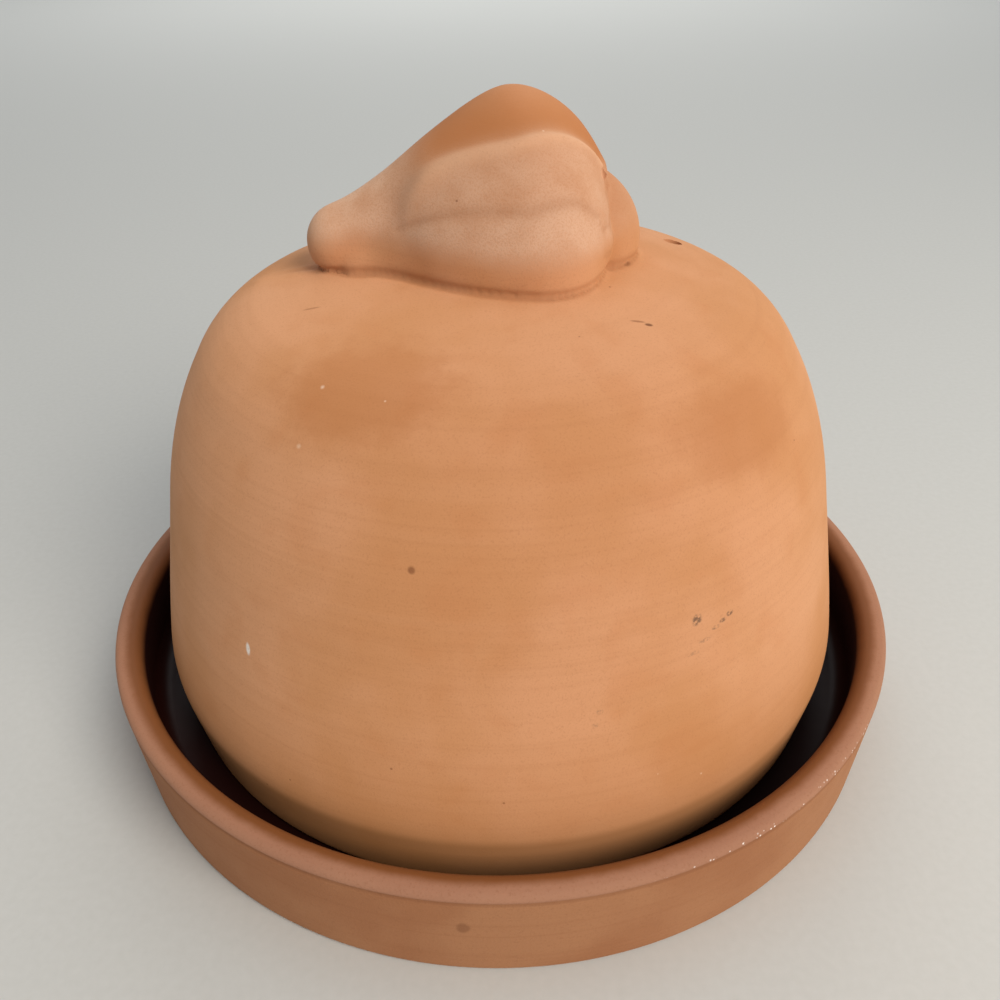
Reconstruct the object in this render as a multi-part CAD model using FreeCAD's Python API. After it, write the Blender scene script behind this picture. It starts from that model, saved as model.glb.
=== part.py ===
import FreeCAD, Part
import math
import os

# Garlic roaster in fired clay: a domed lid with a knob shaped as a garlic head lying
# on its side, standing loose in a shallow round dish. All lengths are millimetres.
# The origin is on the axis of the dish, at the surface it stands on, with +Z up.
# The garlic head's tip points to -X and its root end to +X.

# Lid: the outer side of the dome. Insets are measured inwards from the heel, the
# widest ring, and drops are measured down from the crown.
lid_heel_radius = 64.8
lid_heel_height = 12.7
lid_foot_inset = 2.2
lid_side_inset = 5.8
lid_side_height = 44.3
lid_shoulder_inset = 13.4
lid_shoulder_drop = 14.8
lid_brow_inset = 24.4
lid_brow_drop = 4.7
lid_crown_height = 80.0
lid_wall = 6.0
lid_foot_round = 1.0

# Steam vent, pierced straight down through the top beside the garlic head
vent_radius = 1.7
vent_inset = 29.0
vent_bearing = 25.0

# Dish: a flat floor, a rounded cove and an upright wall with a rounded rim
dish_floor = 6.0
dish_height = 20.1
dish_wall = 5.0
lid_side_play = 5.2
dish_cove = 3.0
dish_taper = 1.5
dish_edge_round = 1.0
rim_outer_round = 1.2
rim_inner_round = 2.6
rim_line_depth = 0.25
rim_line_width = 0.7
rim_line_drop = 1.7

# Garlic head: how soon a clove swells after its start and how early it is full, as
# shares of its length, and how long and how full its root end is, as shares of its
# radius there
slow_swell = (0.27, 0.36)
quick_swell = (0.15, 0.55)
blunt_end = (0.85, 0.68)
round_end = (1.1, 0.52)

# Each clove's start and root end: reach along +X, side along +Y, rise above the
# crown, and radius there. The top clove's start is the garlic head's blunt tip.
top_clove = ((-26.0, 0.5, 2.0, 5.6), (5.2, 0.6, 13.4, 12.7), slow_swell, blunt_end)
front_clove = ((-18.5, -0.8, 4.4, 4.8), (8.3, -5.4, 10.6, 10.2), quick_swell, blunt_end)
lower_clove = ((-20.0, -0.8, 2.2, 4.8), (7.6, -7.0, 4.8, 11.4), slow_swell, blunt_end)
back_clove = ((-18.5, 1.6, 4.2, 4.8), (7.0, 7.2, 9.6, 10.2), quick_swell, blunt_end)
end_clove = ((-18.0, 2.0, 2.2, 4.8), (13.6, 5.6, 2.0, 10.4), slow_swell, round_end)
flank_cloves = [front_clove, lower_clove, back_clove, end_clove]

# Sizes that follow from the ones above
axis_base = FreeCAD.Vector(0, 0, 0)
axis_up = FreeCAD.Vector(0, 0, 1)
lid_base = dish_floor
crown_z = lid_base + lid_crown_height
dish_inner_radius = lid_heel_radius + lid_side_play
dish_rim_radius = dish_inner_radius + dish_wall
dish_foot_radius = dish_rim_radius - dish_taper


def point(radius, height):
    """A point of a turned section, in the XZ plane."""
    return FreeCAD.Vector(radius, 0, height)


def line(start, end):
    return Part.LineSegment(start, end).toShape()


def round_corner(corner, before, after, radius):
    """The arc that rounds a corner: its first, middle and last points."""
    towards_before = (before - corner).normalize()
    towards_after = (after - corner).normalize()
    half_angle = towards_before.getAngle(towards_after) / 2
    setback = radius / math.tan(half_angle)
    first = corner + towards_before * setback
    last = corner + towards_after * setback
    bisector = (towards_before + towards_after).normalize()
    centre = corner + bisector * (radius / math.sin(half_angle))
    middle = centre - bisector * radius
    return first, middle, last


def smooth_curve(points, start_direction, end_direction):
    """A smooth curve through the points, with its direction set at both ends."""
    curve = Part.BSplineCurve()
    curve.interpolate(
        Points=points,
        InitialTangent=start_direction,
        FinalTangent=end_direction,
    )
    return curve


def free_curve(poles):
    """A smooth curve that starts and ends along its first and last pole lines."""
    curve = Part.BezierCurve()
    curve.setPoles(poles)
    return curve.toShape()


def turned(edges, axis_point, axis_direction):
    """The solid that a closed section makes when it is turned about an axis."""
    section = Part.Face(Part.Wire(edges))
    return section.revolve(axis_point, axis_direction, 360)


def dome_curve():
    """The outer side of the dome, from its heel up to its crown."""
    side_z = lid_base + lid_side_height
    heel = point(lid_heel_radius, lid_base + lid_heel_height)
    side = point(lid_heel_radius - lid_side_inset, side_z)
    shoulder = point(lid_heel_radius - lid_shoulder_inset, crown_z - lid_shoulder_drop)
    brow = point(lid_heel_radius - lid_brow_inset, crown_z - lid_brow_drop)
    crown = point(0, crown_z)
    return smooth_curve([heel, side, shoulder, brow, crown], side - heel, point(-1, 0))


def dome_inner_curve(outer):
    """The inner side of the dome, one wall inside the outer side."""
    steps = 8
    points = []
    for step in range(steps):
        place = outer.FirstParameter
        place += (outer.LastParameter - outer.FirstParameter) * step / steps
        along = outer.tangent(place)[0]
        inwards = FreeCAD.Vector(-along.z, 0, along.x)
        points.append(outer.value(place) + inwards * lid_wall)
    points.append(point(0, crown_z - lid_wall))
    start_direction = outer.tangent(outer.FirstParameter)[0]
    return smooth_curve(points, start_direction, point(-1, 0))


def dome_body():
    """The dome as a full body: its side turned in at the heel, and a flat foot."""
    outer = dome_curve()
    heel = outer.value(outer.FirstParameter)
    foot = point(lid_heel_radius - lid_foot_inset, lid_base)
    foot_middle = point(0, lid_base)
    crown = point(0, crown_z)
    arc = round_corner(foot, foot_middle, heel, lid_foot_round)
    edges = [
        line(foot_middle, arc[0]),
        Part.Arc(*arc).toShape(),
        line(arc[2], heel),
        outer.toShape(),
        line(crown, foot_middle),
    ]
    return turned(edges, axis_base, axis_up)


def dome_hollow():
    """The space inside the dome, open at the foot."""
    inner = dome_inner_curve(dome_curve())
    side = inner.value(inner.FirstParameter)
    mouth_radius = lid_heel_radius - lid_foot_inset - lid_wall
    mouth = point(mouth_radius, lid_base)
    mouth_middle = point(0, lid_base)
    ceiling = point(0, crown_z - lid_wall)
    edges = [
        line(mouth_middle, mouth),
        line(mouth, side),
        inner.toShape(),
        line(ceiling, mouth_middle),
    ]
    return turned(edges, axis_base, axis_up)


def clove(start_sizes, root_sizes, swell, root_shape):
    """One clove: a drop-shaped body from its start to its rounded root end."""
    start_reach, start_side, start_rise, start_radius = start_sizes
    reach, side, rise, radius = root_sizes
    neck_share, shoulder_share = swell
    end_share, fullness = root_shape
    start = FreeCAD.Vector(start_reach, start_side, crown_z + start_rise)
    root = FreeCAD.Vector(reach, side, crown_z + rise)
    length = (root - start).Length
    end = length + radius * end_share
    start_arc = round_corner(
        point(-start_radius, start_radius),
        point(-start_radius, 0),
        point(0, start_radius),
        start_radius,
    )
    flank = [
        point(0, start_radius),
        point(length * neck_share, start_radius),
        point(length * (1 - shoulder_share), radius),
        point(length, radius),
    ]
    root_end = [
        point(length, radius),
        point(length + (end - length) * fullness, radius),
        point(end, radius * fullness),
        point(end, 0),
    ]
    edges = [
        Part.Arc(*start_arc).toShape(),
        free_curve(flank),
        free_curve(root_end),
        line(point(end, 0), point(-start_radius, 0)),
    ]
    body = turned(edges, axis_base, FreeCAD.Vector(1, 0, 0))
    turn = FreeCAD.Rotation(FreeCAD.Vector(1, 0, 0), root - start)
    body.Placement = FreeCAD.Placement(start, turn)
    return body


def steam_vent():
    """The round hole beside the garlic head, through the top of the dome."""
    bearing = math.radians(vent_bearing)
    from_axis = lid_heel_radius - vent_inset
    start = FreeCAD.Vector(
        from_axis * math.cos(bearing),
        from_axis * math.sin(bearing),
        crown_z - lid_shoulder_drop,
    )
    depth = lid_shoulder_drop + lid_wall
    return Part.makeCylinder(vent_radius, depth, start, axis_up)


def garlic_head():
    head = clove(*top_clove)
    for sizes in flank_cloves:
        head = head.fuse(clove(*sizes))
    return head


def lid():
    body = dome_body().fuse(garlic_head())
    return body.cut(dome_hollow()).cut(steam_vent()).Solids[0]


def rim_line():
    """The fine line turned into the wall's outer side, just under the rim."""
    line_z = dish_height - rim_line_drop
    slope = dish_taper / dish_height
    wall_radius = dish_rim_radius - rim_line_drop * slope
    outside = wall_radius + rim_line_width
    lower = point(outside, line_z - rim_line_width)
    upper = point(outside, line_z + rim_line_width)
    inner = point(wall_radius - rim_line_depth, line_z)
    return turned(
        [line(inner, lower), line(lower, upper), line(upper, inner)], axis_base, axis_up
    )


def base_dish():
    underside = point(0, 0)
    foot = point(dish_foot_radius, 0)
    rim_outer = point(dish_rim_radius, dish_height)
    rim_inner = point(dish_inner_radius, dish_height)
    cove = point(dish_inner_radius, dish_floor)
    floor_middle = point(0, dish_floor)
    foot_arc = round_corner(foot, underside, rim_outer, dish_edge_round)
    outer_arc = round_corner(rim_outer, foot, rim_inner, rim_outer_round)
    inner_arc = round_corner(rim_inner, rim_outer, cove, rim_inner_round)
    cove_arc = round_corner(cove, rim_inner, floor_middle, dish_cove)
    edges = [
        line(underside, foot_arc[0]),
        Part.Arc(*foot_arc).toShape(),
        line(foot_arc[2], outer_arc[0]),
        Part.Arc(*outer_arc).toShape(),
        line(outer_arc[2], inner_arc[0]),
        Part.Arc(*inner_arc).toShape(),
        line(inner_arc[2], cove_arc[0]),
        Part.Arc(*cove_arc).toShape(),
        line(cove_arc[2], floor_middle),
        line(floor_middle, underside),
    ]
    body = turned(edges, axis_base, axis_up)
    return body.cut(rim_line()).Solids[0]


os.makedirs("parts", exist_ok=True)
lid().exportStep("parts/lid.step")
base_dish().exportStep("parts/base_dish.step")
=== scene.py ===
import math

import bpy
from mathutils import Matrix, Vector
from mathutils.geometry import interpolate_bezier, intersect_point_line


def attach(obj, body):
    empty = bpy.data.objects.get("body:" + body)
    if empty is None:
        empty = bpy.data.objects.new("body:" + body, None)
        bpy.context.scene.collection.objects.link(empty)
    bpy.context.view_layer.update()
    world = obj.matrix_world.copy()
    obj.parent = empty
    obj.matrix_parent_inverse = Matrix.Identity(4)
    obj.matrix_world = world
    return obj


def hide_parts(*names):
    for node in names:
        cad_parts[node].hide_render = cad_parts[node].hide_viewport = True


# A garlic roaster in fired clay: a domed lid whose knob is a garlic head lying on its
# side, standing loose in a shallow dish that is glazed dark inside. The origin is on
# the dish's axis at the table, +Z is up, and the garlic's tip points to -X.

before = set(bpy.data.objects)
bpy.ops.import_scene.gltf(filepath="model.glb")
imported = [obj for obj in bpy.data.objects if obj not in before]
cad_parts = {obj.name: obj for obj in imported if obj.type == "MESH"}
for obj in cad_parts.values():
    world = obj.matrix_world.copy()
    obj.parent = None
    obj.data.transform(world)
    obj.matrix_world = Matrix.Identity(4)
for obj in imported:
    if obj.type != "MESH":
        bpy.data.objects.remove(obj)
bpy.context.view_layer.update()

# Lengths below are in millimetres, and mm turns them into Blender's metres.
mm = 0.001
lid_segments = 224
dish_segments = 256
clove_segments = 96
start_rings, flank_rings, end_rings = 8, 24, 14
smooth_angle = math.radians(50)

# Dome of the lid, as radius and height. Its outer side runs down from the small flat
# at its crown in stretches, each with the two handles that draw it out, its end and
# its number of rings.
crown_flat = 1.2
crown_height = 86.0
heel_height = 18.7
dome_stretches = [
    ((19.0, crown_height), (31.5, 84.3), (40.4, 81.3), 14),
    ((45.0, 79.4), (48.9, 76.1), (51.4, 71.2), 8),
    ((54.8, 65.6), (57.4, 58.6), (59.0, 50.3), 10),
    ((61.2, 38.9), (63.3, 29.0), (64.8, heel_height), 14),
]
foot_radius, foot_height = 62.6, 6.0
heel_round = 14.0
foot_round = 1.0
lid_wall = 6.0

# Surface of the lid: the grid that melts its forms into one, and its final fineness
melt_grid = 0.5
lid_triangles = 185000

# Steam vent and the pit where the cloves meet at the root end
vent_radius = 1.7
vent_depth = 16.0
vent_place = Vector((32.4, 15.1, 82.0))
root_pit_place = Vector((17.1, -5.0, 100.3))
root_pit_size = (0.7, 0.9, 1.1)

# Dish
dish_height = 20.1
dish_floor = 6.0
rim_radius = 75.0
dish_foot_radius = 73.5
dish_inner_radius = 70.0
dish_cove = 3.0
dish_foot_round = 1.0
rim_outer_round = 1.2
rim_inner_round = 2.6
rim_line_drop = 1.7
rim_line_width = 0.9
rim_line_depth = 0.16

# Garlic head: each clove's start, root and radii, how soon it swells after its start
# and how early it is full, as shares of its length, how long and how full its root
# end is, as shares of its radius, and how much dusty bloom it carries
cloves = {
    "top": dict(
        start=Vector((-24.8, 0.5, 88.6)),
        root=Vector((5.2, 2.0, 97.9)),
        radii=(6.2, 14.3),
        swell=(0.26, 0.26),
        end=(0.84, 0.47),
        bloom=0.0,
    ),
    "front": dict(
        start=Vector((-18.2, -0.4, 92.8)),
        root=Vector((6.4, -5.8, 95.1)),
        radii=(4.8, 11.6),
        swell=(0.17, 0.5),
        end=(0.92, 0.48),
        bloom=0.75,
    ),
    "lower": dict(
        start=Vector((-20.8, -1.2, 85.7)),
        root=Vector((6.5, -6.1, 89.4)),
        radii=(5.7, 13.7),
        swell=(0.3, 0.53),
        end=(0.82, 0.62),
        bloom=1.0,
    ),
    "back": dict(
        start=Vector((-18.2, 2.2, 91.6)),
        root=Vector((6.4, 8.7, 94.1)),
        radii=(4.4, 11.0),
        swell=(0.17, 0.5),
        end=(0.92, 0.48),
        bloom=0.75,
    ),
    "end": dict(
        start=Vector((-17.5, 0.0, 88.9)),
        root=Vector((13.2, 3.7, 87.7)),
        radii=(4.6, 11.9),
        swell=(0.27, 0.36),
        end=(0.94, 0.55),
        bloom=0.4,
    ),
}

# The small flat that closes a clove's root end, how far the clay of two cloves runs
# together where they meet, and the space on the lid that holds the garlic head
clove_flat = 0.3
clove_blend = 6.0
knob_low = 79.0
knob_reach = 42.0

# Touches worked into the garlic head by hand, in their order: how far each lifts the
# clay, and how many strokes then smooth it
knob_touches = [
    ("filled", 1.5, 0),
    ("rubbed", 0, 16),
    ("starts", 0, 90),
    ("ridge", 0.65, 0),
    ("valley", -0.3, 0),
    ("groove", -0.4, 0),
    ("slip_and_crease_shade", 0.25, 3),
]
knob_marks = ("bloom", "ridge", "valley", "slip_and_crease_shade")

# Where the touches and marks lie: the stretch of X over which they come in behind the
# garlic's tip, and the heights above the dome over which they come in, or for the low
# ones go out
behind_tip = {"ridge": (-16.0, -8.0), "valley": (-19.0, -11.0), "bloom": (-19.0, -7.0)}
blend_run = 9.0
starts_middle, starts_width = -14.5, 4.0
above_dome = {
    "filled": (0.8, 4.0),
    "rubbed": (1.4, 3.4),
    "ridge": (1.0, 4.0),
    "valley": (1.0, 3.0),
    "low": (0.8, 1.6),
    "seam": (1.0, 2.2),
    "bloom": (3.2, 8.5),
}

# The middle and width of each line that is drawn, measured off the cloves' surfaces
lines_drawn = {
    "ridge": (0.7, 0.7),
    "groove": (0.1, 0.55),
    "slip_and_crease_shade": (1.6, 0.8),
    "seam": (0.1, 0.6),
}
valley_width = 0.45


# Modelling by hand: small steps that the forms below share


def deselect_all():
    bpy.ops.object.select_all(action="DESELECT")


def only(piece):
    """Makes the piece the one selected and active object."""
    deselect_all()
    piece.select_set(True)
    bpy.context.view_layer.objects.active = piece


def named(name):
    piece = bpy.context.object
    piece.name = name
    piece.data.name = name
    return piece


def apply_modifier(piece, kind, **settings):
    only(piece)
    modifier = piece.modifiers.new(kind.title(), kind)
    for key, value in settings.items():
        setattr(modifier, key, value)
    bpy.ops.object.modifier_apply(modifier=modifier.name)


def join(pieces):
    """Joins the pieces into the first of them."""
    only(pieces[0])
    for piece in pieces[1:]:
        piece.select_set(True)
    bpy.ops.object.join()
    return pieces[0]


def point(radius, height):
    return Vector((radius, 0, height))


def curve_span(start, first_handle, second_handle, end, steps):
    """Points on a smooth stretch of a section, without its first point."""
    return interpolate_bezier(start, first_handle, second_handle, end, steps + 1)[1:]


def corner_arc(corner, before, after, radius, steps=6):
    """The points of a rounded corner of a section."""
    back = (before - corner).normalized()
    ahead = (after - corner).normalized()
    half = back.angle(ahead) / 2
    setback = radius / math.tan(half)
    pull = setback - radius * 4 / 3 * math.tan((math.pi / 2 - half) / 2)
    first = corner + back * setback
    last = corner + ahead * setback
    span = curve_span(first, corner + back * pull, corner + ahead * pull, last, steps)
    return [first, *span]


def straight(start, end, steps):
    """Evenly spaced points between two points of a section, without either."""
    return [start.lerp(end, step / steps) for step in range(1, steps)]


def throw(name, section, segments):
    """A closed turned form, drawn up ring by ring as on a potter's wheel."""
    deselect_all()
    start = section[0]
    bpy.ops.mesh.primitive_circle_add(
        vertices=segments,
        radius=start.x * mm,
        fill_type="TRIFAN",
        location=(0, 0, start.z * mm),
    )
    piece = named(name)
    bpy.ops.object.transform_apply(location=True, rotation=False, scale=False)
    bpy.ops.object.mode_set(mode="EDIT")
    bpy.ops.mesh.select_mode(type="EDGE")
    bpy.ops.mesh.select_all(action="DESELECT")
    bpy.ops.mesh.select_non_manifold()
    last = start
    for ring in section[1:]:
        rise = (0, 0, (ring.z - last.z) * mm)
        bpy.ops.mesh.extrude_edges_move(TRANSFORM_OT_translate={"value": rise})
        grow = ring.x / last.x
        bpy.ops.transform.resize(
            value=(grow, grow, 1), center_override=(0, 0, ring.z * mm)
        )
        last = ring
    bpy.ops.mesh.edge_face_add()
    bpy.ops.mesh.poke()
    bpy.ops.mesh.select_all(action="SELECT")
    bpy.ops.mesh.normals_make_consistent(inside=False)
    bpy.ops.object.mode_set(mode="OBJECT")
    return piece


def lay_along(piece, start, end):
    """Turns a form thrown about +Z so that it runs from start towards end."""
    only(piece)
    piece.rotation_mode = "QUATERNION"
    piece.rotation_quaternion = (end - start).to_track_quat("Z", "Y")
    piece.location = start * mm
    bpy.ops.object.transform_apply(location=True, rotation=True, scale=False)


# Lid: the dome, from the small flat at its crown down its outer side and up inside


def dome_outside():
    start = point(crown_flat, crown_height)
    outside = [start]
    for first_handle, second_handle, end, steps in dome_stretches:
        handles = point(*first_handle), point(*second_handle)
        outside += curve_span(start, *handles, point(*end), steps)
        start = point(*end)
    return outside


def dome_inside(outside):
    """The inner side, one wall inside the outer side, from the heel to the ceiling."""
    inside = []
    for place in range(len(outside) - 2, 0, -1):
        along = (outside[place - 1] - outside[place + 1]).normalized()
        inwards = Vector((-along.z, 0, along.x))
        inside.append(outside[place] + inwards * lid_wall)
    return inside


def dome_section():
    outside = dome_outside()
    foot = point(foot_radius, foot_height)
    inner_foot = point(foot_radius - lid_wall, foot_height)
    inside = dome_inside(outside)
    heel_corner = corner_arc(outside[-1], outside[-4], foot, heel_round)
    foot_corner = corner_arc(foot, outside[-1], inner_foot, foot_round)
    section = [*outside[:-2], *heel_corner]
    section += [*straight(heel_corner[-1], foot_corner[0], 6), *foot_corner, inner_foot]
    return [*section, *straight(inner_foot, inside[0], 8), *inside]


def dome_height(radius, outside):
    """The height of the dome's outer side at a radius near its top."""
    for inner, outer in zip(outside, outside[1:]):
        if inner.x <= radius < outer.x:
            share = (radius - inner.x) / (outer.x - inner.x)
            return inner.z + (outer.z - inner.z) * share
    return crown_height if radius < outside[0].x else 0


# Lid: the garlic head that is its knob


def clove_section(clove):
    """A clove's section, from its round start to its root end, along +Z from 0."""
    start_radius, radius = clove["radii"]
    length = (clove["root"] - clove["start"]).length
    neck_share, shoulder_share = clove["swell"]
    end_share, fullness = clove["end"]
    section = []
    for step in range(1, start_rings + 1):
        turn = math.pi / 2 * step / start_rings
        ring = point(start_radius * math.sin(turn), -start_radius * math.cos(turn))
        section.append(ring)
    neck = point(start_radius, length * neck_share)
    shoulder = point(radius, length * (1 - shoulder_share))
    full = point(radius, length)
    section += curve_span(section[-1], neck, shoulder, full, flank_rings)
    end = radius * end_share
    brim = point(radius, length + end * fullness)
    root = point(radius * fullness, length + end)
    tip = point(clove_flat, length + end)
    return section + curve_span(full, brim, root, tip, end_rings)


def model_clove(name, clove):
    """A clove, cut off flat inside the dome's wall."""
    piece = throw(name, clove_section(clove), clove_segments)
    lay_along(piece, clove["start"], clove["root"])
    bpy.ops.object.mode_set(mode="EDIT")
    bpy.ops.mesh.select_all(action="SELECT")
    bpy.ops.mesh.bisect(
        plane_co=(0, 0, (crown_height - lid_wall * 0.7) * mm),
        plane_no=(0, 0, 1),
        use_fill=True,
        clear_inner=True,
    )
    bpy.ops.object.mode_set(mode="OBJECT")
    return piece


def clove_gap(place, clove, section):
    """How far a place lies outside a clove's own surface, in millimetres."""
    start, root = clove["start"], clove["root"]
    foot, share = intersect_point_line(place, start, root)
    along = share * (root - start).length
    radius = 0
    for before, after in zip(section, section[1:]):
        if before.z <= along < after.z:
            part = (along - before.z) / (after.z - before.z)
            radius = before.x + (after.x - before.x) * part
    return (place - foot).length - radius


def smooth_share(value, low, high):
    share = min(max((value - low) / (high - low), 0), 1)
    return share * share * (3 - 2 * share)


def knob_points(piece):
    """The lid's points that lie on or near the garlic head, with their places."""
    found = {}
    for vertex in piece.data.vertices:
        place = vertex.co / mm
        if place.z > knob_low and math.hypot(place.x, place.y) < knob_reach:
            found[vertex.index] = place.copy()
    return found


def clove_gaps(place, sections):
    return {
        name: clove_gap(place, clove, sections[name]) for name, clove in cloves.items()
    }


def rising(place, outside):
    """How far a place stands above the dome's own surface, in millimetres."""
    return place.z - dome_height(math.hypot(place.x, place.y), outside)


def bell(value, middle, width):
    return math.exp(-(((value - middle) / width) ** 2))


def ridge_share(place, gaps, above):
    """1 along the raised edge where a flank clove leaves the top one, and 0 off it."""
    flank = "front" if place.y < 0 else "back"
    others = [gap for name, gap in gaps.items() if name not in ("top", flank)]
    if min(gaps["top"], gaps[flank]) > min(others) + 0.4:
        return 0
    fading = smooth_share(place.x, *behind_tip["ridge"])
    share = bell(gaps["top"] - gaps[flank], *lines_drawn["ridge"])
    return share * fading * smooth_share(above, *above_dome["ridge"])


def blend_share(place, gaps):
    """1 where two cloves meet, falling to 0 a little way up each of them, and where
    one of them comes out of the other."""
    nearest = min(gaps, key=gaps.get)
    most = 0
    for name, gap in gaps.items():
        if name != nearest:
            first = max(cloves[name]["start"].x, cloves[nearest]["start"].x)
            share = max(1 - (gap - gaps[nearest]) / clove_blend, 0)
            coming_in = smooth_share(place.x, first, first + blend_run)
            most = max(most, share * share * coming_in)
    return most


def valley_share(place, gaps, above):
    """1 along the fine line between two of the lower cloves, and 0 off it."""
    order = sorted(gaps, key=gaps.get)[:2]
    if "top" in order:
        return 0
    fading = smooth_share(place.x, *behind_tip["valley"])
    line = bell(gaps[order[1]], gaps[order[0]], valley_width)
    return line * fading * smooth_share(above, *above_dome["valley"])


def touch_shares(piece):
    """By kind of touch, how strongly it works on each point of the garlic head."""
    sections = {name: clove_section(clove) for name, clove in cloves.items()}
    outside = dome_outside()
    shares = {kind: {} for kind, lift, strokes in knob_touches}
    for index, place in knob_points(piece).items():
        above = rising(place, outside)
        gaps = clove_gaps(place, sections)
        nearest = min(gaps.values())
        rubbed = smooth_share(above, *above_dome["rubbed"])
        clear = smooth_share(above, *above_dome["filled"])
        shares["filled"][index] = blend_share(place, gaps) * clear
        shares["rubbed"][index] = rubbed
        shares["starts"][index] = rubbed * bell(place.x, starts_middle, starts_width)
        shares["ridge"][index] = ridge_share(place, gaps, above)
        shares["valley"][index] = valley_share(place, gaps, above)
        if above > -0.5 and nearest > -0.4:
            low = 1 - smooth_share(above, *above_dome["low"])
            waver = 0.75 + 0.25 * math.sin(place.x * 0.9) * math.sin(place.y * 0.7 + 1)
            shares["groove"][index] = bell(nearest, *lines_drawn["groove"]) * low
            shares["slip_and_crease_shade"][index] = bell(nearest, *lines_drawn["slip_and_crease_shade"]) * low * waver
    return shares


def work_knob(piece):
    """Fills and rubs down the valleys between the cloves, then draws the edges, the
    valleys and the seam of slip around the garlic head."""
    shares = touch_shares(piece)
    for kind, lift, strokes in knob_touches:
        group = piece.vertex_groups.new(name=kind)
        for index, share in shares[kind].items():
            if share > 0.01:
                group.add([index], min(share, 1), "REPLACE")
        reach = {"vertex_group": group.name}
        if lift:
            apply_modifier(piece, "DISPLACE", strength=lift * mm, mid_level=0, **reach)
        if strokes:
            apply_modifier(piece, "SMOOTH", factor=0.5, iterations=strokes, **reach)
        piece.vertex_groups.clear()


def mark_cloves(piece):
    """Keeps, on the lid's surface, where bloom lies, and where the edges, the valleys
    and the seam round the garlic head take painted highlight and painted shade.
    """
    for name in knob_marks:
        piece.data.attributes.new(name, "FLOAT", "POINT")
    marked = {name: piece.data.attributes[name] for name in knob_marks}
    sections = {name: clove_section(clove) for name, clove in cloves.items()}
    outside = dome_outside()
    for index, place in knob_points(piece).items():
        above = rising(place, outside)
        gaps = clove_gaps(place, sections)
        nearest = min(gaps.values())
        # The seam where the garlic head meets the dome gets a painted shade line, kept
        # in the slip mark
        seam = bell(nearest, *lines_drawn["seam"])
        seam *= 1 - smooth_share(above, *above_dome["seam"])
        marked["slip_and_crease_shade"].data[index].value = seam if above > -0.5 else 0
        if above < 0.3:
            continue
        total = 0
        dust = 0
        for name, clove in cloves.items():
            share = math.exp(-max(gaps[name], -3) / 0.5)
            amount = clove["bloom"]
            if name == "top":
                amount = 1 - smooth_share(place.x, *behind_tip["bloom"])
            total += share
            dust += share * amount
        dusty = dust / total * smooth_share(above, *above_dome["bloom"])
        marked["bloom"].data[index].value = dusty
        marked["ridge"].data[index].value = ridge_share(place, gaps, above)
        marked["valley"].data[index].value = valley_share(place, gaps, above)


def piercing_tool():
    """What pierces the lid: a round tool for the vent and a small blade for the pit."""
    deselect_all()
    bpy.ops.mesh.primitive_cylinder_add(
        vertices=48,
        radius=vent_radius * mm,
        depth=vent_depth * mm,
        location=vent_place * mm,
    )
    awl = named("vent_awl")
    deselect_all()
    bpy.ops.mesh.primitive_uv_sphere_add(
        segments=32, ring_count=16, radius=1 * mm, location=root_pit_place * mm
    )
    blade = named("root_blade")
    blade.scale = root_pit_size
    return join([awl, blade])


def model_lid():
    forms = [throw("clay_lid", dome_section(), lid_segments)]
    for name, clove in cloves.items():
        forms.append(model_clove("clove_" + name, clove))
    lid = join(forms)
    lid.name = "clay_lid"
    apply_modifier(lid, "REMESH", mode="VOXEL", voxel_size=melt_grid * mm)
    work_knob(lid)
    apply_modifier(lid, "SMOOTH", factor=0.5, iterations=3)
    ratio = lid_triangles / (2 * len(lid.data.polygons))
    apply_modifier(lid, "DECIMATE", ratio=ratio)
    tool = piercing_tool()
    apply_modifier(lid, "BOOLEAN", operation="DIFFERENCE", object=tool, solver="EXACT")
    bpy.data.objects.remove(tool)
    mark_cloves(lid)
    only(lid)
    bpy.ops.object.shade_smooth_by_angle(angle=smooth_angle)
    return lid


# Dish


def dish_section():
    underside = point(3.0, 0)
    foot = point(dish_foot_radius, 0)
    rim_outer = point(rim_radius, dish_height)
    rim_inner = point(dish_inner_radius, dish_height)
    cove = point(dish_inner_radius, dish_floor)
    floor_middle = point(1.0, dish_floor)
    up_wall = (rim_outer - foot).normalized()
    groove = rim_outer - up_wall * rim_line_drop
    groove_depth = point(groove.x - rim_line_depth, groove.z)
    half_groove = up_wall * rim_line_width / 2
    foot_corner = corner_arc(foot, underside, rim_outer, dish_foot_round)
    outer_corner = corner_arc(rim_outer, foot, rim_inner, rim_outer_round)
    inner_corner = corner_arc(rim_inner, rim_outer, cove, rim_inner_round, 10)
    cove_corner = corner_arc(cove, rim_inner, floor_middle, dish_cove, 8)
    section = [underside, *straight(underside, foot_corner[0], 8), *foot_corner]
    section += straight(foot_corner[-1], groove, 10)
    section += [groove - half_groove, groove_depth, groove + half_groove]
    section += [*outer_corner, *inner_corner]
    section += [*straight(inner_corner[-1], cove_corner[0], 8), *cove_corner]
    section += straight(cove_corner[-1], floor_middle, 10)
    return [*section, floor_middle]


def model_dish():
    dish = throw("clay_dish", dish_section(), dish_segments)
    only(dish)
    bpy.ops.object.shade_smooth_by_angle(angle=smooth_angle)
    return dish


# Materials


def srgb(code):
    """A colour as written in sRGB hex, turned to the linear one that shaders take."""
    values = [int(code[place : place + 2], 16) / 255 for place in (1, 3, 5)]
    linear = [
        value / 12.92 if value <= 0.04045 else ((value + 0.055) / 1.055) ** 2.4
        for value in values
    ]
    return (*linear, 1)


def per_metre(size):
    """The scale of a pattern whose marks are about so many millimetres apart."""
    return 1 / (size * mm)


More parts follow.
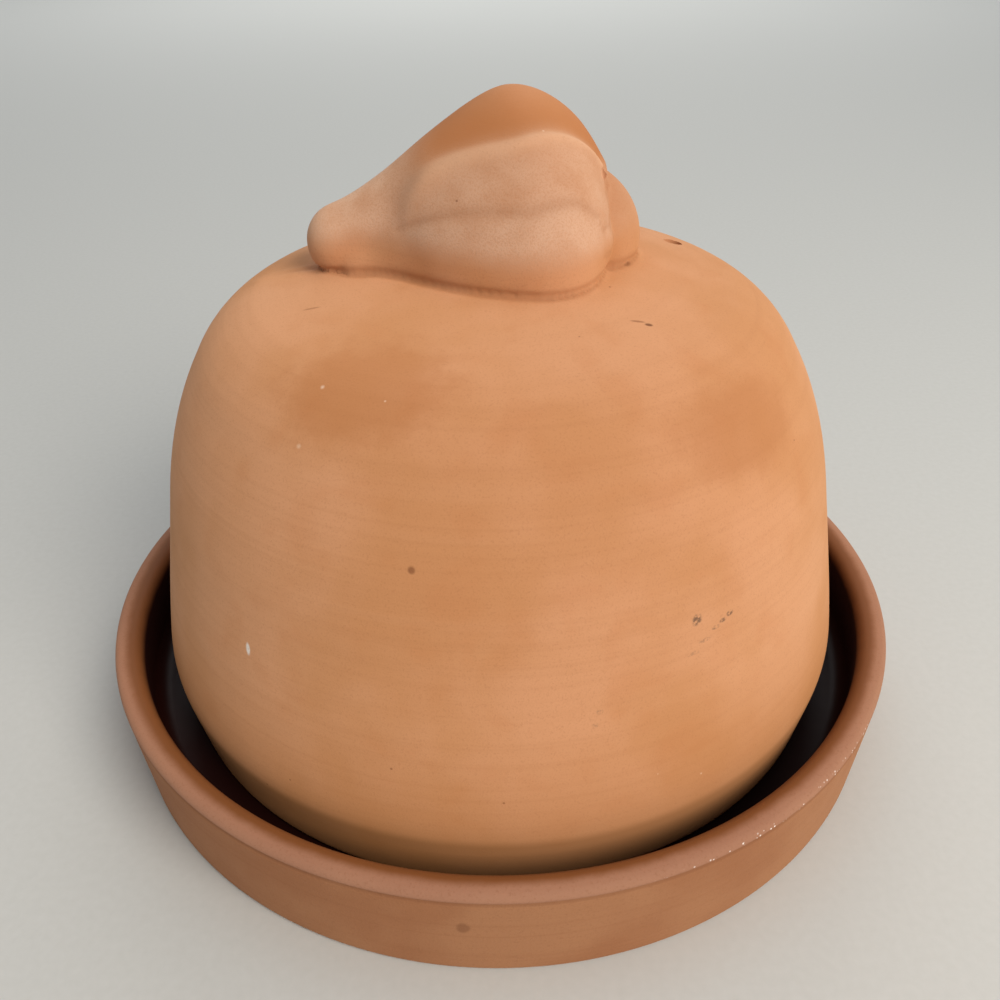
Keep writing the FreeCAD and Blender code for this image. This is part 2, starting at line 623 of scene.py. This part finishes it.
def add(tree, kind, inputs=(), output=0, **settings):
    """Adds a node with its settings, links or sets its inputs, which come in order or
    by socket, and gives back one of its outputs."""
    node = tree.nodes.new("ShaderNode" + kind)
    for key, value in settings.items():
        setattr(node, key, value)
    by_socket = inputs if isinstance(inputs, dict) else dict(enumerate(inputs))
    for socket, value in by_socket.items():
        if isinstance(value, bpy.types.NodeSocket):
            tree.links.new(value, node.inputs[socket])
        else:
            node.inputs[socket].default_value = value
    return node.outputs[output]


# Settings that many nodes share: soft-edged ranges, and sums on masks and heights
soft = {"interpolation_type": "SMOOTHSTEP"}
times = {"operation": "MULTIPLY"}
minus = {"operation": "SUBTRACT"}
plus = {"operation": "ADD"}


def new_material(name, **sockets):
    """A material with one shader, whose constant values are set on its own sockets."""
    material = bpy.data.materials.new(name)
    material.use_nodes = True
    tree = material.node_tree
    shader = tree.nodes["Principled BSDF"]
    for socket, value in sockets.items():
        shader.inputs[socket.replace("_", " ")].default_value = value
    return material, tree, shader, add(tree, "TexCoord", output="Object")


def coat(tree, shader, colour, tints, bumps):
    """Lays tints and bumps on a shader. A tint is its colour, where it lies and its
    strength, and a bump is its height from 0 to 1 and its depth in millimetres."""
    for tint, mask, strength in tints:
        amount = add(tree, "Math", [mask, strength], **times)
        over = srgb(tint) if isinstance(tint, str) else tint
        inputs = {0: amount, 6: colour, 7: over}
        colour = add(tree, "Mix", inputs, 2, data_type="RGBA")
    tree.links.new(colour, shader.inputs["Base Color"])
    normal = None
    for height, depth in bumps:
        inputs = {"Height": height, "Strength": 1, "Distance": depth * mm}
        if normal:
            inputs["Normal"] = normal
        normal = add(tree, "Bump", inputs)
    if normal:
        tree.links.new(normal, shader.inputs["Normal"])


def spot_of(tree, coords, place, size, ragged=0.0, grain=2.0):
    """A soft-edged oval patch at a place: 1 in its middle and 0 outside it. Its edge is
    broken up by noise where it is ragged."""
    offset = add(tree, "VectorMath", [coords, Vector(place) * mm], **minus)
    scale = Vector((1 / (axis * mm) for axis in size))
    shape = add(tree, "VectorMath", [offset, scale], **times)
    length = add(tree, "VectorMath", [shape], "Value", operation="LENGTH")
    if ragged:
        inputs = {"Scale": per_metre(grain), "Detail": 4, "Roughness": 0.65}
        noise = add(tree, "TexNoise", {"Vector": coords, **inputs})
        off_middle = add(tree, "Math", [noise, 0.5], **minus)
        shift = add(tree, "Math", [off_middle, ragged], **times)
        length = add(tree, "Math", [length, shift], **plus)
    return add(tree, "MapRange", [length, 0.45, 1.0, 1.0, 0.0], **soft)


def turning_lines(tree, coords, spacing):
    """Fine level lines that a tool leaves on turned clay, a little uneven round it."""
    drift = add(tree, "Mapping", {0: coords, 3: (6, 6, per_metre(spacing))})
    inputs = {"Vector": drift, "Scale": 1, "Detail": 3, "Roughness": 0.6}
    return add(tree, "TexNoise", inputs)


def specks_of(tree, coords, spacing, size, seed, rarity=0.72):
    """Scattered round grains, each about size across, fewer with more rarity."""
    shifted = add(tree, "Mapping", [coords, (seed * mm * 37, seed * mm * 11, 0)])
    inputs = {"Vector": shifted, "Scale": per_metre(spacing)}
    distance = add(tree, "TexVoronoi", inputs)
    chance = add(tree, "SeparateColor", [distance.node.outputs["Color"]])
    picked = add(tree, "MapRange", [chance, rarity, rarity + 0.02], **soft)
    reach = size / spacing / 2
    near = add(tree, "MapRange", [distance, reach * 0.6, reach, 1.0, 0.0], **soft)
    return add(tree, "Math", [picked, near], **times)


# Pencil-grey scuffs, each with its place, size and strength
scuffs = [
    ((27.8, -52.0, 50.4), (1.0, 1.3, 1.2), 0.75),
    ((31.0, -50.7, 47.9), (0.9, 1.1, 0.4), 0.55),
    ((32.2, -50.0, 48.5), (0.8, 1.1, 0.45), 0.7),
    ((33.3, -49.3, 49.1), (0.8, 1.1, 0.6), 0.8),
    ((29.3, -52.0, 46.6), (1.4, 1.4, 0.4), 0.35),
    ((27.6, -53.2, 45.2), (1.7, 1.4, 0.4), 0.25),
    ((13.8, -59.4, 40.1), (0.8, 1.2, 0.5), 0.3),
    ((13.2, -60.0, 38.0), (0.6, 1.1, 0.6), 0.25),
]

# A chip, stains and flecks, each with its place, size, colour and strength
marks = [
    ((-38.0, -47.2, 42.0), (0.5, 0.9, 1.4), "#F4EADF", 1.0),
    ((-11.7, -54.8, 62.0), (0.7, 1.2, 0.7), "#8A5230", 0.7),
    ((22.5, -24.2, 83.4), (0.8, 0.5, 0.8), "#6E3F24", 0.8),
    ((20.9, -23.6, 83.6), (1.5, 0.35, 0.7), "#8F5733", 0.6),
    ((-28.3, -16.1, 83.4), (1.9, 0.35, 0.8), "#9A6238", 0.5),
    ((21.2, -3.2, 85.2), (1.4, 1.6, 0.5), "#7A4523", 0.6),
    ((-24.0, -35.8, 79.5), (0.6, 0.6, 0.6), "#F6DCC2", 0.9),
    ((-20.9, -41.5, 76.7), (0.5, 0.5, 0.5), "#F6DCC2", 0.8),
    ((-27.0, -41.5, 73.6), (0.7, 0.6, 0.6), "#F0D2B4", 0.6),
]


# Unglazed terracotta, thrown and sponged, for the lid: a dry, chalky, light orange
# that scatters light softly, with level turning lines and fine sand in it


def bisque_terracotta():
    material, tree, shader, coords = new_material(
        "bisque_terracotta",
        IOR=1.5,
        Specular_IOR_Level=0.28,
        Roughness=0.82,
        Diffuse_Roughness=0.6,
    )

    # Cloudy clay with a warmer flush and turning lines
    inputs = {"Scale": per_metre(26), "Detail": 3}
    clouds = add(tree, "TexNoise", {"Vector": coords, **inputs})
    inputs = {"Scale": per_metre(9), "Detail": 3, "Distortion": 0.4}
    flush = add(tree, "TexNoise", {"Vector": coords, **inputs})
    lines = turning_lines(tree, coords, 0.9)
    wide_lines = turning_lines(tree, coords, 4.5)
    tints = [
        ("#DDA377", add(tree, "MapRange", [clouds, 0.35, 0.65], **soft), 1.0),
        ("#CB8450", add(tree, "MapRange", [flush, 0.5, 0.75], **soft), 0.22),
        ("#BE8152", add(tree, "MapRange", [lines, 0.45, 0.8], **soft), 0.16),
        ("#E6B087", add(tree, "MapRange", [wide_lines, 0.5, 0.72], **soft), 0.1),
    ]

    # The garlic head is more orange, with dusty bloom where it wasn't wiped, a painted
    # highlight along the raised edges of its cloves, and painted shade in its valleys
    # and in the seam round its foot
    height = add(tree, "SeparateXYZ", [coords], "Z")
    on_head = spot_of(tree, coords, (-4, 0, 97), (52, 52, 22), ragged=0.05)
    above = add(tree, "MapRange", [height, 87 * mm, 96 * mm], **soft)
    off_head = add(tree, "MapRange", [height, 84 * mm, 87 * mm, 1.0, 0.0], **soft)
    inputs = {"Scale": per_metre(0.3), "Detail": 2, "Roughness": 0.6}
    grain = add(tree, "TexNoise", {"Vector": coords, **inputs})
    inputs = {"Scale": per_metre(5), "Detail": 3}
    patches = add(tree, "TexNoise", {"Vector": coords, **inputs})
    patchy = add(tree, "MapRange", [patches, 0.25, 0.7, 0.7, 1.0], **soft)
    grainy = add(tree, "MapRange", [grain, 0.36, 0.62, 0.68, 1.0], **soft)
    bloom, ridge, valley, slip_and_crease_shade = [
        add(tree, "Attribute", output="Fac", attribute_name=name) for name in knob_marks
    ]
    dusty = add(tree, "Math", [bloom, patchy], **times)
    tints += [
        ("#BC7641", add(tree, "Math", [on_head, above], **times), 0.85),
        ("#E6BE9F", add(tree, "Math", [dusty, grainy], **times), 1.0),
        # Painted highlight: a pale line along the raised edge where a flank clove
        # leaves the top one
        ("#EBBD97", ridge, 0.55),
        # Painted shade: a darker line in the valleys between the lower cloves
        ("#B0744A", valley, 0.3),
        # Painted shade: a darker line in the crease where the garlic head meets the
        # dome
        ("#9A5A2C", slip_and_crease_shade, 0.35),
    ]

    # Painted shade: below its heel, where it stands down inside the dish, the dome is
    # painted darker; and low on its side the dome is a shade more orange
    painted_shade_top = (heel_height + 0.6) * mm
    painted_foot_shade = add(tree, "MapRange", [height, painted_shade_top - 2.6 * mm, painted_shade_top, 1.0, 0.0], **soft)
    low_down = add(tree, "MapRange", [height, 18 * mm, 42 * mm, 1.0, 0.0], **soft)
    # The first tint here is the painted shade below the heel
    tints += [("#6E4C2C", painted_foot_shade, 0.52), ("#BC7C45", low_down, 0.4)]

    # Two darker patches where wet hands held the dome
    left_patch = spot_of(tree, coords, (-18, -37, 79.5), (18, 13, 8), 0.9, 5)
    right_patch = spot_of(tree, coords, (37, -36.5, 72.5), (22, 14, 8), 0.6, 5)
    tints += [("#BF7B47", patch, 0.42) for patch in (left_patch, right_patch)]

    # Handling marks
    inputs = {"Scale": per_metre(0.6), "Detail": 3, "Roughness": 0.7}
    rub = add(tree, "TexNoise", {"Vector": coords, **inputs})
    rubbed = add(tree, "MapRange", [rub, 0.36, 0.6], **soft)
    for place, size, strength in scuffs:
        spot = spot_of(tree, coords, place, size)
        tints.append(("#4E4038", add(tree, "Math", [spot, rubbed], **times), strength))
    for place, size, code, strength in marks:
        tints.append((code, spot_of(tree, coords, place, size), strength))

    # Iron specks, pale grog and sand in the clay
    tints += [
        ("#8E5530", specks_of(tree, coords, 5.5, 0.5, 1), 0.6),
        ("#F0D2B4", specks_of(tree, coords, 7.5, 0.45, 2), 0.6),
        ("#B97C50", add(tree, "MapRange", [grain, 0.5, 0.75], **soft), 0.3),
    ]
    bumps = [
        (clouds, 0.4),
        (add(tree, "Math", [wide_lines, off_head], **times), 0.06),
        (add(tree, "Math", [lines, off_head], **times), 0.03),
        (grain, 0.035),
        (add(tree, "Math", [grain, bloom], **times), 0.04),
    ]
    coat(tree, shader, srgb("#D39766"), tints, bumps)
    return material


# Red terracotta for the dish, pressed and turned, left raw outside and glazed inside
# with a dark iron glaze: dry and pinkish brown outside, black-maroon and soft within,
# where painted shade darkens it further down


def glazed_terracotta():
    material, tree, shader, coords = new_material(
        "iron_glazed_terracotta",
        IOR=1.5,
        Specular_IOR_Level=0.16,
        Diffuse_Roughness=0.4,
    )
    height = add(tree, "SeparateXYZ", [coords], "Z")
    level = add(tree, "VectorMath", [coords, (1, 1, 0)], **times)
    radius = add(tree, "VectorMath", [level], "Value", operation="LENGTH")
    inputs = {"Scale": per_metre(22), "Detail": 3}
    clouds = add(tree, "TexNoise", {"Vector": coords, **inputs})
    lines = turning_lines(tree, coords, 0.8)
    inputs = {"Scale": per_metre(0.5), "Detail": 3, "Roughness": 0.7}
    grain = add(tree, "TexNoise", {"Vector": coords, **inputs})

    # Painted highlight: a paler pinkish band on the shoulder above the turned line.
    # Painted
    # shade: a darker line along the turned line itself
    painted_rim_highlight = add(tree, "MapRange", [height, 18.3 * mm, 18.7 * mm], **soft)
    line_height = (dish_height - rim_line_drop) * mm
    above_line = add(tree, "Math", [height, line_height], **minus)
    off_line = add(tree, "Math", [above_line], operation="ABSOLUTE")
    painted_line_shade = add(tree, "MapRange", [off_line, 0.1 * mm, 0.8 * mm, 1.0, 0.0], **soft)

    # Painted glints: white dots on tiny grains sparkle along the turned line at the
    # front right, and one spot at the front is rubbed dark
    glint_zone = spot_of(tree, coords, (46, -58.5, 19.0), (30, 30, 0.8), ragged=0.3)
    painted_glints = specks_of(tree, coords, 0.6, 0.4, 3, rarity=0.55)
    rubbed = spot_of(tree, coords, (-6.1, -74.1, 12.1), (1.3, 1.5, 1.9), 0.8, 1)

    # The glaze starts on the rim's inner rounding, thin and orange-brown, and darkens
    # to
    # near black further down: partly the dark glaze itself, partly painted shade in the
    # deep gap under the lid
    inner_edge = (dish_inner_radius + rim_inner_round + 0.6) * mm
    inputs = {"Scale": per_metre(3), "Detail": 3, "Roughness": 0.6}
    edge_noise = add(tree, "TexNoise", {"Vector": coords, **inputs})
    off_middle = add(tree, "Math", [edge_noise, 0.5], **minus)
    wavy = add(tree, "Math", [off_middle, 0.7 * mm], **times)
    wavy_radius = add(tree, "Math", [radius, wavy], **plus)
    edge = [inner_edge - 1.4 * mm, inner_edge + 0.4 * mm]
    within = add(tree, "MapRange", [wavy_radius, *edge, 1.0, 0.0], **soft)
    above_foot = add(tree, "MapRange", [height, 3 * mm, 4 * mm], **soft)
    glaze = add(tree, "Math", [within, above_foot], **times)
    raw = add(tree, "Math", [1.0, glaze], **minus)
    wavy_height = add(tree, "Math", [height, wavy], **plus)
    # Painted shade deeper in the dish, over the dark glaze's own colour
    depth = add(tree, "MapRange", [wavy_height, 16.8 * mm, 19.9 * mm, 1.0, 0.0], **soft)
    inputs = {0: depth, 6: srgb("#8B5630"), 7: srgb("#280D08")}
    glaze_and_shade_colour = add(tree, "Mix", inputs, 2, data_type="RGBA")
    matt = add(tree, "MapRange", [glaze, 0.2, 1.0, 0.78, 0.55], **soft)
    deep_glaze = add(tree, "Math", [depth, glaze], **times)
    pooled = add(tree, "Math", [deep_glaze, 0.1], **times)
    gloss = add(tree, "Math", [matt, pooled], **minus)
    tree.links.new(gloss, shader.inputs["Roughness"])

    tints = [
        ("#B27E59", add(tree, "MapRange", [clouds, 0.35, 0.65], **soft), 1.0),
        ("#9A6341", add(tree, "MapRange", [lines, 0.45, 0.8], **soft), 0.25),
        # Painted highlight on the shoulder above the turned line
        ("#B98A72", painted_rim_highlight, 0.6),
        ("#94603F", add(tree, "MapRange", [grain, 0.5, 0.75], **soft), 0.3),
        # Painted shade along the turned line
        ("#86553A", painted_line_shade, 0.35),
        # Painted glints along the turned line
        ("#FFF6EC", add(tree, "Math", [painted_glints, glint_zone], **times), 1.0),
        ("#EBCDB5", specks_of(tree, coords, 6.5, 0.45, 4), 0.6),
        ("#6E4026", rubbed, 0.4),
        (glaze_and_shade_colour, glaze, 1.0),
    ]
    inputs = {"Scale": per_metre(6), "Detail": 1}
    bumps = [
        (clouds, 0.3),
        (add(tree, "TexNoise", {"Vector": coords, **inputs}), 0.08),
        (add(tree, "Math", [lines, raw], **times), 0.03),
        (add(tree, "Math", [grain, raw], **times), 0.07),
    ]
    coat(tree, shader, srgb("#A8724E"), tints, bumps)
    return material


# Plain pale floor: matt card, with the faintest tooth


def pale_card():
    material, tree, shader, coords = new_material(
        "pale_card", IOR=1.45, Specular_IOR_Level=0.2, Roughness=0.9
    )
    inputs = {"Scale": per_metre(1.5), "Detail": 3}
    tooth = add(tree, "TexNoise", {"Vector": coords, **inputs})
    coat(tree, shader, srgb("#D0D1CC"), [("#D8D9D5", tooth, 1.0)], [])
    return material


# Studio: floor, light and camera

# Each light's place and aim, its size, power and colour
studio_lights = {
    "key_softbox": ((420, -520, 560), (0, 0, 50), 480, 5.1, "#FFF6EC"),
    "top_softbox": ((100, 160, 800), (0, 0, 50), 700, 0.8, "#FFFFFF"),
    "far_softbox": ((0, 1500, 900), (0, 1500, 0), 1400, 9.0, "#FFFFFF"),
}
world_strength = 0.42

# The camera of the photograph: its distance and its height over the horizon, how far
# it aims past the origin, its roll, and its lens
view_distance = 207.75
view_height = math.radians(41.9)
aim_up = 0.1505
aim_right = 0.0016
aim_roll = -0.0159
lens_length = 34.2
sensor_width = 36
floor_size = 8


def lay_floor():
    deselect_all()
    bpy.ops.mesh.primitive_plane_add(size=floor_size, location=(0, 0, 0))
    floor = named("studio_floor")
    floor.data.materials.append(pale_card())


def light_studio():
    for name, (place, aim, size, power, colour) in studio_lights.items():
        deselect_all()
        place = Vector(place)
        bpy.ops.object.light_add(type="AREA", location=place * mm)
        light = bpy.context.object
        light.name = name
        light.data.shape = "DISK"
        light.data.size = size * mm
        light.data.energy = power
        light.data.color = srgb(colour)[:3]
        light.rotation_mode = "QUATERNION"
        light.rotation_quaternion = (Vector(aim) - place).to_track_quat("-Z", "Y")
    world = bpy.data.worlds.new("pale_studio")
    world.use_nodes = True
    background = world.node_tree.nodes["Background"]
    background.inputs["Color"].default_value = srgb("#DDE0E4")
    background.inputs["Strength"].default_value = world_strength
    bpy.context.scene.world = world
    bpy.context.scene.view_settings.view_transform = "Standard"


def place_camera():
    eye = Vector((0, -math.cos(view_height), math.sin(view_height))) * view_distance
    ahead = -eye.normalized()
    right = Vector((1, 0, 0))
    up = right.cross(ahead)
    ahead = (ahead + right * aim_right + up * aim_up).normalized()
    level = (right - ahead * right.dot(ahead)).normalized()
    upright = level.cross(ahead)
    across = level * math.cos(aim_roll) + upright * math.sin(aim_roll)
    upwards = upright * math.cos(aim_roll) - level * math.sin(aim_roll)
    deselect_all()
    bpy.ops.object.camera_add()
    camera = bpy.context.object
    camera.name = "photo_camera"
    turn = Matrix((across, upwards, -ahead)).transposed().to_4x4()
    camera.matrix_world = Matrix.Translation(eye * mm) @ turn
    camera.data.lens = lens_length
    camera.data.sensor_width = sensor_width
    camera.data.clip_start = 0.01
    camera.data.dof.use_dof = False
    bpy.context.scene.camera = camera


def finish_piece(piece, material, node):
    piece.data.materials.clear()
    piece.data.materials.append(material)
    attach(piece, "root")
    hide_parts(node)


place_camera()
light_studio()
lay_floor()
finish_piece(model_lid(), bisque_terracotta(), "lid")
finish_piece(model_dish(), glazed_terracotta(), "base_dish")
